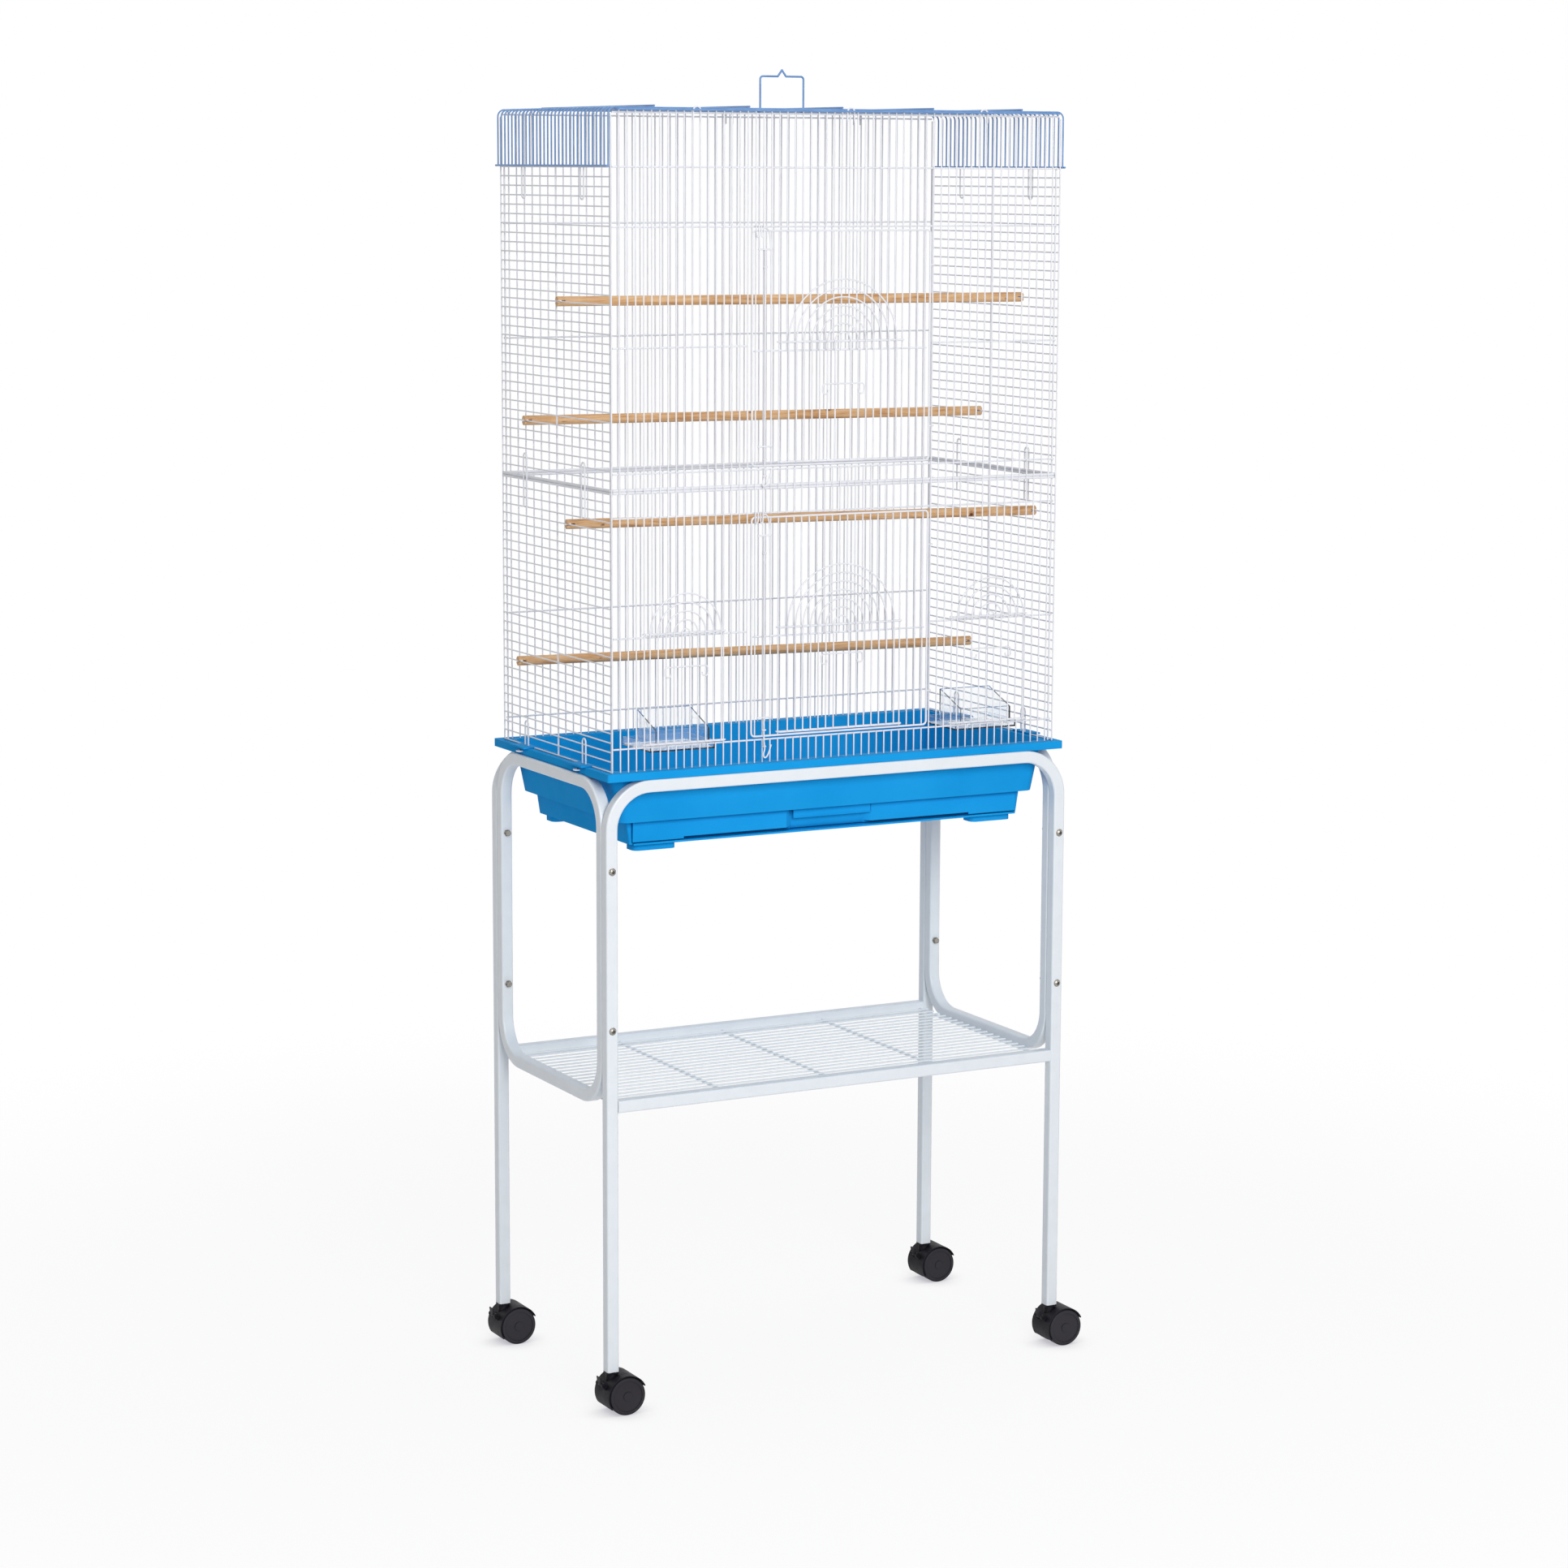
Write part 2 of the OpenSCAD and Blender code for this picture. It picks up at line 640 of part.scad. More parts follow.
module lift_door(guide_y, half_w, radii, foot_z, h) {
    y = before(guide_y, wire_d, lift_bar_d, ring_gap + ring_d / 4);
    leg_y = before(y, lift_bar_d, wire_d, weld_gap);
    for (z = [foot_z, foot_z + h]) {
        rod_x(half_w, y, z, lift_bar_d);
        for (s = [-1, 1]) ring(s * half_w, guide_y, z, wire_d);
    }
    for (r = radii) on_front(leg_y) {
        bent_wire([[-r, foot_z], [-r, foot_z + h + r], [r, foot_z + h + r], [r, foot_z]], r - tiny, wire_d);
    }
    on_front(before(leg_y, wire_d, grip_d, weld_gap)) scroll_grip(foot_z + grip_lift);
}

module door_lift(z, h) color(white) lift_door(
    door_wire_y, lift_ring_wires * bar_pitch, [for (k = [1 : lift_arches]) k * bar_pitch],
    z[0] + lift_foot_gap, h);
module upper_lift_door() door_lift(upper_door, upper_lift_h);
module lower_lift_door() door_lift(lower_door, lower_lift_h);

module feeder_door(s) color(white) translate([s * feeder_wire * bar_pitch, 0, 0]) lift_door(
    front_y, feeder_half_w, [for (k = [1 : feeder_arches]) (k - 0.5) * bar_pitch],
    lower_opening[0] + lift_foot_gap, feeder_h);
module left_feeder_door() feeder_door(-1);
module right_feeder_door() feeder_door(1);

// Latch rod with two cross handles, drawn up clear of its keeper
module latch(z, opening) color(white) {
    x = -latch_wire * bar_pitch;
    head = z[1] - latch_tee_drop;
    rod_z(x, latch_y, [opening[0] - keeper_drop + ring_d / 2 + pass_gap, head], latch_d);
    for (tee_z = [head, z[0] + latch_tee_lift])
        rod([x - latch_tee_l / 2, latch_y, tee_z], [x + latch_tee_l / 2, latch_y, tee_z], latch_d);
}

module upper_latch() latch(upper_door, upper_opening);
module lower_latch() latch(lower_door, lower_opening);

// Perches: dowels whose slotted ends sit on the side wires
perch_slot_gap = 0.3;
module perch(i) color(wood) {
    z = row_z(perch_rows[i]);
    end_x = cage_x + wire_d / 2 + perch_tail;
    slot = wire_d + 2 * perch_slot_gap;
    difference() {
        rod([-end_x, perch_left_y[i], z], [end_x, perch_right_y[i], z], perch_d);
        for (s = [-1, 1]) translate([s * (cage_x + end_x) / 2, 0, z])
            cube([end_x - cage_x + slot, 4 * cage_y, slot], center = true);
    }
}

module perch_1() perch(0);
module perch_2() perch(1);
module perch_3() perch(2);
module perch_4() perch(3);

// Cups: a clear hopper with a slanted mouth over a wider tray, hooked on the bar of its opening
hook_w = 6;
hook_t = 1.8;
hook_drop = 6;
hook_bite = 1.35;
cup_floor_drop = 7;
cup_feed_h = 7;
module cup(s) color(clear) translate([s * feeder_wire * bar_pitch, 0, 0]) {
    y = bar_y + bar_d / 2 + pass_gap;
    z = lower_opening[0] - cup_floor_drop;
    back = y + cup_depth;
    tray_l = cup_depth + cup_trough;
    difference() {
        translate([-cup_tray_w / 2, y, z]) cube([cup_tray_w, tray_l, cup_trough_h]);
        translate([cup_wall - cup_tray_w / 2, y + cup_wall, z + cup_wall])
            cube([cup_tray_w - 2 * cup_wall, tray_l - 2 * cup_wall, cup_trough_h]);
    }
    mouth = y + cup_wall / 2;
    foot = z + cup_feed_h;
    difference() {
        on_side(-cup_w / 2) linear_extrude(cup_w) polygon([
            [mouth, foot], [mouth, z + cup_front_h], [back, z + cup_h], [back, foot]]);
        on_side(cup_wall - cup_w / 2) linear_extrude(cup_w - 2 * cup_wall) polygon([
            [mouth + cup_wall, z], [mouth + cup_wall, z + 2 * cup_h],
            [back - cup_wall, z + 2 * cup_h], [back - cup_wall, z]]);
    }
    top = lower_opening[0] + bar_d / 2 + pass_gap;
    lip_y = bar_y - bar_d / 2 - pass_gap - hook_t;
    for (k = [-2.5, 2.5]) translate([k * bar_pitch - hook_w / 2, 0, 0]) {
        translate([0, lip_y, top]) cube([hook_w, y + hook_bite - lip_y, hook_t]);
        translate([0, lip_y, top - hook_drop]) cube([hook_w, hook_t, hook_drop + hook_t / 2]);
    }
}

module left_cup() cup(-1);
module right_cup() cup(1);

// Base: a rim that hangs on the rails, a tapered hopper, a step and the drawer's housing
module base() color(blue) {
    inner = [mouth_x - base_wall, mouth_y - base_wall];
    inner_step = [step_x - base_wall, step_y - base_wall];
    difference() {
        union() {
            slab(rim_x, rim_y, rim_round, stand_h, rim_h);
            tapered([step_x, step_y], [mouth_x, mouth_y], mouth_round, [step_z - base_wall, rim_top - tiny]);
            tapered([housing_x - housing_taper, housing_y], [housing_x, housing_y], housing_round,
                [housing_z, step_z - base_wall / 2]);
            for (s = [-1, 1], t = [-1, 1])
                translate([s * (housing_x - foot_in[0]), t * (housing_y - foot_in[1]), 0])
                    slab(foot_half[0], foot_half[1], foot_round, housing_z - foot_h, foot_h + base_wall / 2);
            lip = housing_x - housing_taper - lip_end;
            translate([-lip, -housing_y - drawer_proud - lip_out, housing_z - lip_drop])
                cube([2 * lip, lip_depth, base_wall]);
        }
        difference() {
            slab(rim_x - base_wall, rim_y - base_wall, rim_round / 2, stand_h - 1, rim_h + 1 - rim_plate);
            slab(mouth_x, mouth_y, mouth_round, stand_h - 2, rim_h + 2);
        }
        tapered(inner_step, inner, mouth_round - base_wall, [step_z, rim_top + 1]);
        tapered([housing_x - housing_taper - base_wall, housing_y - base_wall],
            [housing_x - base_wall, housing_y - base_wall], 2, [housing_z + base_wall, step_z + 1]);
        front_cut = housing_x - housing_taper - base_wall;
        translate([-front_cut, -2 * housing_y, housing_z + base_wall])
            cube([2 * front_cut, 2 * housing_y, housing_h - 2 * base_wall]);
    }
    for (s = [-1, 1], t = [-1, 1]) translate([s * (rim_x + flap_out - flap_l / 2), t * clip_y, rim_top - tiny])
        translate([-flap_l / 2, -flap_w / 2, 0]) cube([flap_l, flap_w, flap_h + tiny]);
}

// Drawer: a tray with a recessed front and a pull lip
drawer_gap = 0.6;
drawer_front_t = 9;
module drawer() color(blue) {
    half = housing_x - housing_taper - base_wall - drawer_gap;
    foot = housing_z + base_wall + drawer_gap;
    head = step_z - base_wall - drawer_gap;
    back = housing_y - base_wall - drawer_gap;
    front = -housing_y - drawer_proud;
    difference() {
        translate([-half, front, foot]) cube([2 * half, back - front, head - foot]);
        translate([drawer_wall - half, front + drawer_front_t + drawer_wall, foot + drawer_wall])
            cube([2 * (half - drawer_wall), back - front - drawer_front_t - 2 * drawer_wall, head]);
        translate([0, 0, foot - 1]) linear_extrude(head) polygon([
            [-recess_w / 2, front - 1], [recess_slope - recess_w / 2, front + recess_depth],
            [recess_w / 2 - recess_slope, front + recess_depth], [recess_w / 2, front - 1]]);
        translate([-drawer_lift_w / 2, front - 1, foot - 1])
            cube([drawer_lift_w, 1 + recess_depth - drawer_wall, 1 + drawer_lift]);
    }
    translate([-pull_w / 2 + recess_depth, front, head - pull_h])
        cube([pull_w - 2 * recess_depth, drawer_wall, pull_h]);
    translate([-pull_w / 2 + recess_depth, front, head - drawer_wall])
        cube([pull_w - 2 * recess_depth, recess_depth + drawer_wall, drawer_wall]);
}

// Loose wire floor on the step of the base
grille_pitch = 14;
grille_gap = 2;
module floor_grille() color(white) {
    half_x = step_x - base_wall - grille_gap;
    half_y = step_y - base_wall - grille_gap;
    z = step_z + weld_gap + bar_d / 2;
    for (x = [-half_x + mouth_round, 0, half_x - mouth_round]) rod_y(x, half_y, z, bar_d);
    rows = floor((half_y - mouth_round / 2) / grille_pitch);
    for (k = [-rows : rows])
        rod_x(half_x, k * grille_pitch, z + bar_d / 2 + weld_gap + wire_d / 2, wire_d);
}

// Stand

// Bolt holes along Y through the legs
module bolt_holes(y, d) for (s = [-1, 1], z = [upper_bolt_z, lower_bolt_z])
    rod([s * leg_x, y - tube, z], [s * leg_x, y + tube, z], d);

bolt_gap = 0.4;
module leg_frame(t) color(white) difference() {
    union() {
        on_front(t * frame_leg_y) {
            bent([[-leg_x, leg_foot_z], [-leg_x, rail_z], [leg_x, rail_z], [leg_x, leg_foot_z]], tube_bend_r)
                tube_section();
            rail_half = leg_x - tube / 2;
            bent([[-rail_half, shelf_z], [rail_half, shelf_z]], tube_bend_r) tube_section();
        }
    }
    bolt_holes(t * frame_leg_y, bolt_d + bolt_gap);
    shelf_holes(t);
}

module front_frame() leg_frame(-1);
module rear_frame() leg_frame(1);

// The side frames' lower run is a little above the shelf's rails; their tube starts on the left leg
side_foot_lift = 2;
side_seam_drop = 20;
module side_frame(s) color(white) difference() {
    y = side_leg_y;
    foot = shelf_z + side_foot_lift;
    seam = rail_z - tube_bend_r - side_seam_drop;
    on_side(s * leg_x) bent([
        [-y, seam], [-y, rail_z], [y, rail_z], [y, foot], [-y, foot],
        [-y, seam]
    ], tube_bend_r) tube_section();
    for (t = [-1, 1]) bolt_holes(t * side_leg_y, bolt_d + bolt_gap);
}

module left_side_frame() side_frame(-1);
module right_side_frame() side_frame(1);

// Shelf of wires between the two leg frames
shelf_cross_x = 157;
shelf_end_gap = 2.5;
shelf_hole_gap = 0.4;
shelf_tab = 3;
shelf_cross_drop = 2.3;
shelf_cross_z = shelf_z - shelf_cross_drop;
shelf_x = leg_x - tube / 2 - shelf_end_gap;
shelf_cross_places = [for (k = [-2 : 2]) k * shelf_cross_x];
module shelf_holes(t) for (x = shelf_cross_places)
    rod([x, t * (frame_leg_y - tube), shelf_cross_z], [x, t * frame_leg_y, shelf_cross_z],
        shelf_cross_d + shelf_hole_gap);

module shelf() color(white) {
    half_y = frame_leg_y - tube / 2;
    for (x = shelf_cross_places) rod_y(x, half_y + shelf_tab, shelf_cross_z, shelf_cross_d);
    z = shelf_cross_z + shelf_cross_d / 2 + weld_gap + shelf_wire_d / 2;
    pitch = 2 * half_y / (shelf_wires + 1);
    first = (shelf_wires - 1) / 2;
    for (k = [-first : first]) rod_x(shelf_x, k * pitch, z, shelf_wire_d);
}

// Bolts with low round heads, from the outside of the legs, and dome nuts inside
bolt_head_d = 10;
bolt_head_h = 2.8;
bolt_socket_d = 4.6;
bolt_socket_h = 1.7;
nut_d = 9;
nut_h = 6;
module at_bolts() for (s = [-1, 1], t = [-1, 1], z = [upper_bolt_z, lower_bolt_z])
    translate([s * leg_x, t * (frame_leg_y + tube / 2), z]) rotate([t * 90, 0, 0]) children();

module stand_bolts() color(zinc) at_bolts() {
    translate([0, 0, -bolt_head_h]) difference() {
        intersection() {
            cylinder(d = bolt_head_d, h = bolt_head_h);
            translate([0, 0, bolt_head_d * 0.6]) sphere(bolt_head_d * 0.6);
        }
        translate([0, 0, -1]) cylinder(d = bolt_socket_d, h = 1 + bolt_socket_h, $fn = 6);
    }
    translate([0, 0, -tiny]) cylinder(d = bolt_d, h = 2 * tube + nut_h * 0.7);
}

module stand_nuts() color(zinc) at_bolts() translate([0, 0, 2 * tube]) difference() {
    union() {
        cylinder(d = nut_d, h = nut_h * 0.6, $fn = 6);
        cylinder(d = nut_d * 0.8, h = nut_h);
    }
    translate([0, 0, -1]) cylinder(d = bolt_d + 2 * seat_gap, h = nut_h * 0.7 + 1 + seat_gap);
}

// Casters

corners = [[-1, -1], [1, -1], [-1, 1], [1, 1]];
module at_corner(c) translate([corners[c][0] * leg_x, corners[c][1] * frame_leg_y, 0]) children();
module at_axle() translate([caster_trail, 0, wheel_z]) rotate([90, 0, 0]) children();

plug_l = 36;
module caster_sockets() color(black) for (c = [0 : 3]) at_corner(c) difference() {
    inside = tube - 2 * tube_wall - 2 * seat_gap;
    union() {
        slab(tube / 2, tube / 2, tube_round, socket_z, socket_flange);
        slab(inside / 2, inside / 2, tube_round - tube_wall, socket_z, plug_l);
    }
    translate([0, 0, socket_z - 1]) cylinder(d = stem_d + 2 * bore_gap, h = plug_l + 2);
}

// Hood of a caster: a web between the wheels, a shell over them, a collar and the stem
hood_from = 25;
hood_to = 165;
hood_side = 3;
web_edge = 3;
web_depth = 8;
ear_t = 3;
ear_gap = 0.7;
ear_edge = 1.5;
ear_l = 7;
ear_turn = 40;
module hood(c) color(black) at_corner(c) {
    width = web_w + 2 * wheel_w - 2 * hood_side;
    lever = lever_point();
    difference() {
        union() {
            at_axle() {
                rotate([0, 0, hood_from]) rotate_extrude(angle = hood_to - hood_from)
                    translate([hood_in_r, -width / 2]) square([hood_wall, width]);
                cylinder(d = wheel_d - 2 * web_edge, h = web_w - 2 * wheel_gap, center = true);
                rotate([0, 0, hood_from]) rotate_extrude(angle = hood_to - hood_from)
                    translate([wheel_d / 2 - web_depth, wheel_gap - web_w / 2])
                        square([hood_gap + web_depth + hood_wall / 2, web_w - 2 * wheel_gap]);
            }
            difference() {
                union() {
                    translate([0, 0, wheel_z]) cylinder(d = collar_d, h = socket_z - wheel_z - caster_gap / 2);
                    for (t = [-1, 1]) translate([lever[0], t * (lever_w + ear_t) / 2 + t * ear_gap, lever[1]])
                        rotate([90, 0, 0]) linear_extrude(ear_t, center = true) lever_ear();
                }
                at_axle() cylinder(r = hood_in_r + hood_wall / 2, h = 4 * wheel_w, center = true);
            }
            translate([0, 0, socket_z - caster_gap]) cylinder(d = stem_d, h = stem_l + caster_gap);
        }
        at_axle() cylinder(d = axle_d + 2 * seat_gap, h = 2 * web_w, center = true);
        translate([lever[0], 0, lever[1]]) rotate([90, 0, 0])
            cylinder(d = lever_pin_d + 2 * bore_gap, h = 4 * lever_w, center = true);
    }
}

// Outline of the ears that hold the brake lever's pin
module lever_ear() {
    ear_d = lever_pin_d + 2 * ear_edge;
    circle(d = ear_d);
    rotate(-ear_turn) translate([0, -ear_d / 2]) square([ear_l, ear_d]);
}

// Pin of the brake lever, on the hood's back, and its lever
lever_turn = 28;
lever_out = 4.5;
lever_hub = 1;
pin_inset = 0.2;
function lever_point() = [caster_trail - (hood_r + lever_out) * cos(lever_turn),
    wheel_z + (hood_r + lever_out) * sin(lever_turn)];
lever_rise = 35;
module brake(c) color(black) at_corner(c) {
    p = lever_point();
    reach = lever_reach + p[0];
    translate([p[0], 0, p[1]]) rotate([90, 0, 0]) {
        cylinder(d = lever_pin_d, h = lever_w + 2 * (ear_gap + ear_t) - 2 * pin_inset, center = true);
        cylinder(d = lever_pin_d + 2 * lever_hub, h = lever_w, center = true);
        linear_extrude(lever_w, center = true) rotate(180 - lever_rise)
            translate([0, -lever_t / 2]) square([reach / cos(lever_rise), lever_t]);
    }
}

axle_inset = 4;
module axle(c) color(zinc) at_corner(c) at_axle()
    cylinder(d = axle_d, h = web_w + 2 * (wheel_w - axle_inset), center = true);

// Wheel with a dished outer face, a rounded tread and a hub; s is -1 on the near side
tread_round = 3;
hub_wall = 4;
tread_wall = 5;
dish_from = 6;
dish_depth = 0.8;
hub_cap = 2;
module wheel(c, s) color(black) at_corner(c) at_axle() rotate([s < 0 ? 0 : 180, 0, 0])
    translate([0, 0, web_w / 2]) rotate_extrude() difference() {
        union() {
            square([wheel_d / 2 - tread_round, wheel_w]);
            translate([0, tread_round]) square([wheel_d / 2, wheel_w - 2 * tread_round]);
            for (y = [tread_round, wheel_w - tread_round])
                translate([wheel_d / 2 - tread_round, y]) circle(tread_round);
        }
        hub_r = axle_d / 2 + hub_wall;
        hollow_r = wheel_d / 2 - tread_wall;
        translate([0, -1]) square([axle_d / 2 + bore_gap, wheel_w - hub_cap - 1]);
        translate([hub_r, -1]) square([hollow_r - hub_r, wheel_w - 2 * hub_cap - 1]);
        translate([dish_from, wheel_w - dish_depth]) square([hollow_r - dish_from, 1]);
    }

upper_front_panel();
upper_back_panel();
upper_left_panel();
upper_right_panel();
lower_front_panel();
lower_back_panel();
lower_left_panel();
lower_right_panel();
roof();
carry_handle();
top_clips();
middle_clips();
base_clips();
upper_main_door();
lower_main_door();
upper_lift_door();
lower_lift_door();
left_feeder_door();
right_feeder_door();
upper_latch();
lower_latch();
perch_1();
perch_2();
perch_3();
perch_4();
left_cup();
right_cup();
base();
drawer();
floor_grille();
front_frame();
rear_frame();
left_side_frame();
right_side_frame();
shelf();
stand_bolts();
stand_nuts();
caster_sockets();
hood(0);  // front_left_hood
axle(0);  // front_left_axle
wheel(0, -1);  // front_left_near_wheel
wheel(0, 1);  // front_left_far_wheel
brake(0);  // front_left_brake
hood(1);  // front_right_hood
axle(1);  // front_right_axle
wheel(1, -1);  // front_right_near_wheel
wheel(1, 1);  // front_right_far_wheel
brake(1);  // front_right_brake
hood(2);  // rear_left_hood
axle(2);  // rear_left_axle
wheel(2, -1);  // rear_left_near_wheel
wheel(2, 1);  // rear_left_far_wheel
brake(2);  // rear_left_brake
hood(3);  // rear_right_hood
axle(3);  // rear_right_axle
wheel(3, -1);  // rear_right_near_wheel
wheel(3, 1);  // rear_right_far_wheel
brake(3);  // rear_right_brake
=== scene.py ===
"""Finish, floor, light and camera of the flight bird cage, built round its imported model, in metres."""
import json
import math

import bmesh
import bpy
from mathutils import Matrix, Vector

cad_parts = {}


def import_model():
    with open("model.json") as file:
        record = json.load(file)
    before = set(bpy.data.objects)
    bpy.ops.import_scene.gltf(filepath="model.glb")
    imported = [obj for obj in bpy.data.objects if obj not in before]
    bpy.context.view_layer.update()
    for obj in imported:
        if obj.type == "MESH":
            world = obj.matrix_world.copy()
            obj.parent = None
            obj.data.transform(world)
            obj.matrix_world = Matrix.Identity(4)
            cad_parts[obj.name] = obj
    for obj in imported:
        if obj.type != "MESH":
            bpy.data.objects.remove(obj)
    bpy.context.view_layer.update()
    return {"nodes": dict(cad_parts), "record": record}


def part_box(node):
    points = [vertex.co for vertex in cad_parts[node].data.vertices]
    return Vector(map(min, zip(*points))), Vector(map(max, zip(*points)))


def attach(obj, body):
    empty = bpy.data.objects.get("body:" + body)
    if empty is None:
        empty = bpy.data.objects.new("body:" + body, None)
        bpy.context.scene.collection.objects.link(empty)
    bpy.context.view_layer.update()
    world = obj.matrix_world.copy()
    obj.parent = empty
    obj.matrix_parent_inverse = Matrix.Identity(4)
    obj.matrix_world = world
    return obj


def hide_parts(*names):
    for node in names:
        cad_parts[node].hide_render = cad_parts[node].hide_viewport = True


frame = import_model()
NODES = frame["nodes"]
RECORD = frame["record"]
SLOT_OF = {part["node"]: part["material_slot"] for part in RECORD["subparts"]}
BODY_OF = {node: body for body, nodes in RECORD["behaviour"]["bodies"].items() for node in nodes}
CORNERS = ("front_left", "front_right", "rear_left", "rear_right")
MM = 0.001


# Colours, as sRGB levels
def srgb(*levels):
    """Linear colour, with alpha 1, of three sRGB levels from 0 to 255."""
    return [((v / 255 + 0.055) / 1.055) ** 2.4 if v > 10 else v / 255 / 12.92 for v in levels] + [1]


WHITE = srgb(255, 255, 255)
WHITE_COAT = srgb(231, 232, 237)
WHITE_COAT_SHADE = srgb(224, 225, 230)
TUBE_COAT = srgb(226, 232, 237)
TUBE_COAT_SHADE = srgb(223, 229, 234)
ROOF_COAT = srgb(108, 150, 202)
ROOF_COAT_SHADE = srgb(92, 136, 190)
BLUE_PLASTIC = srgb(30, 156, 226)
BLUE_PLASTIC_SHADE = srgb(22, 148, 218)
BLACK_PLASTIC = srgb(34, 32, 37)
BLACK_PLASTIC_SHADE = srgb(27, 25, 30)
WHEEL_PLASTIC = srgb(57, 55, 59)
WHEEL_PLASTIC_SHADE = srgb(50, 48, 52)
# Painted shade that darkens moulded plastic in its crease corners and recesses
CREASE_PAINTED_SHADE = srgb(150, 170, 190)
CLEAR_PLASTIC = srgb(250, 252, 254)
WOOD_PALE = srgb(224, 184, 140)
WOOD_MID = srgb(210, 163, 116)
WOOD_DARK = srgb(174, 125, 82)
WOOD_KNOT = srgb(112, 66, 38)
ZINC = srgb(184, 180, 172)
ZINC_SHADE = srgb(120, 116, 110)
# Painted shade inside the bolts' sockets
ZINC_PAINTED_SHADE = srgb(70, 64, 60)
FLOOR = srgb(246, 246, 248)
# Colour of the contact shadow painted into the floor's glow
FLOOR_PAINTED_SHADOW = srgb(196, 194, 202)


# Building blocks of the finishes
NOISE_LOW, NOISE_HIGH = 0.3, 0.7
# Where the painted shade of crease corners and sockets starts and ends, as occlusion
OCCLUSION_DARK, OCCLUSION_OPEN = 0.4, 0.9


def new_finish(name, **sockets):
    """A material, its node tree and its shader; words are the shader's sockets, with _ for a space."""
    made = bpy.data.materials.new(name)
    made.use_nodes = True
    shader = made.node_tree.nodes["Principled BSDF"]
    for socket, value in sockets.items():
        shader.inputs[socket.replace("_", " ")].default_value = value
    return made, made.node_tree, shader


def place(tree, stretch=(1, 1, 1)):
    """Object coordinates in metres, stretched along the axes."""
    coordinates = tree.nodes.new("ShaderNodeTexCoord")
    mapping = tree.nodes.new("ShaderNodeMapping")
    mapping.inputs["Scale"].default_value = stretch
    tree.links.new(coordinates.outputs["Object"], mapping.inputs["Vector"])
    return mapping.outputs["Vector"]


def noise(tree, per_metre, detail=3, stretch=(1, 1, 1)):
    """Soft noise with so many lumps in a metre."""
    made = tree.nodes.new("ShaderNodeTexNoise")
    made.inputs["Scale"].default_value = per_metre
    made.inputs["Detail"].default_value = detail
    tree.links.new(place(tree, stretch), made.inputs["Vector"])
    return made.outputs["Fac"]


def ramp(tree, factor, *stops):
    """Colour ramp over pairs of a position and a colour."""
    made = tree.nodes.new("ShaderNodeValToRGB")
    elements = made.color_ramp.elements
    while len(elements) < len(stops):
        elements.new(0.5)
    for element, (position, colour) in zip(elements, stops):
        element.position = position
        element.color = colour
    tree.links.new(factor, made.inputs["Fac"])
    return made.outputs["Color"]


def multiply(tree, first, second):
    """Product of two colours."""
    made = tree.nodes.new("ShaderNodeMix")
    made.data_type = "RGBA"
    made.blend_type = "MULTIPLY"
    made.inputs["Factor"].default_value = 1
    for name, colour in (("A", first), ("B", second)):
        tree.links.new(colour, next(s for s in made.inputs if s.name == name and s.type == "RGBA"))
    return next(s for s in made.outputs if s.type == "RGBA")


def spread(tree, factor, low, high):
    """The usual range of a noise, spread from low to high."""
    made = tree.nodes.new("ShaderNodeMapRange")
    for socket, value in (("From Min", NOISE_LOW), ("From Max", NOISE_HIGH), ("To Min", low), ("To Max", high)):
        made.inputs[socket].default_value = value
    tree.links.new(factor, made.inputs["Value"])
    return made.outputs["Result"]


def bump(tree, shader, height, depth, strength=1.0):
    """Bumps of that depth, in metres, under the shader."""
    made = tree.nodes.new("ShaderNodeBump")
    made.inputs["Strength"].default_value = strength
    made.inputs["Distance"].default_value = depth
    tree.links.new(height, made.inputs["Height"])
    tree.links.new(made.outputs["Normal"], shader.inputs["Normal"])


def openness(tree, reach):
    """1 on open faces, and less within reach of another face."""
    made = tree.nodes.new("ShaderNodeAmbientOcclusion")
    made.inputs["Distance"].default_value = reach
    return made.outputs["AO"]


def painted_crease_shade(tree, reach, dark):
    """Painted shade: white on open faces, and dark within reach of another face in a crease."""
    return ramp(tree, openness(tree, reach), (OCCLUSION_DARK, dark), (OCCLUSION_OPEN, WHITE))


# Finishes: lumps in a metre of each noise, and the depth of the finest one
MOTTLE_PER_METRE, SHEEN_PER_METRE, PEEL_PER_METRE = 45, 130, 700
PEEL_DEPTH = 0.06 * MM
CLOUDS_PER_METRE, WEAR_PER_METRE = 9, 60
# Reach of the painted shade in the plastic's crease corners
CREASE_REACH = 7 * MM
GRAIN_STRETCH = (5, 260, 260)
GRAIN_DEPTH = 0.2 * MM
KNOT_STRETCH = (34, 70, 70)
HAZE_PER_METRE, WAVES_PER_METRE = 40, 30
WAVE_DEPTH = 0.3 * MM
SPANGLE_PER_METRE = 900
SPANGLE_DEPTH = 0.04 * MM
# Reach of the painted shade in the bolts' sockets
PAINTED_SOCKET_SHADE_REACH = 4 * MM


def powder_coat(name, colour, shade):
    """Baked powder on steel: a slight mottle, and the fine peel of the coat."""
    made, tree, shader = new_finish(name, Coat_Weight=0.15, Coat_Roughness=0.25)
    mottle = noise(tree, MOTTLE_PER_METRE)
    tree.links.new(ramp(tree, mottle, (0.35, shade), (0.65, colour)), shader.inputs["Base Color"])
    tree.links.new(spread(tree, noise(tree, SHEEN_PER_METRE), 0.3, 0.44), shader.inputs["Roughness"])
    bump(tree, shader, noise(tree, PEEL_PER_METRE, detail=2), PEEL_DEPTH)
    return made


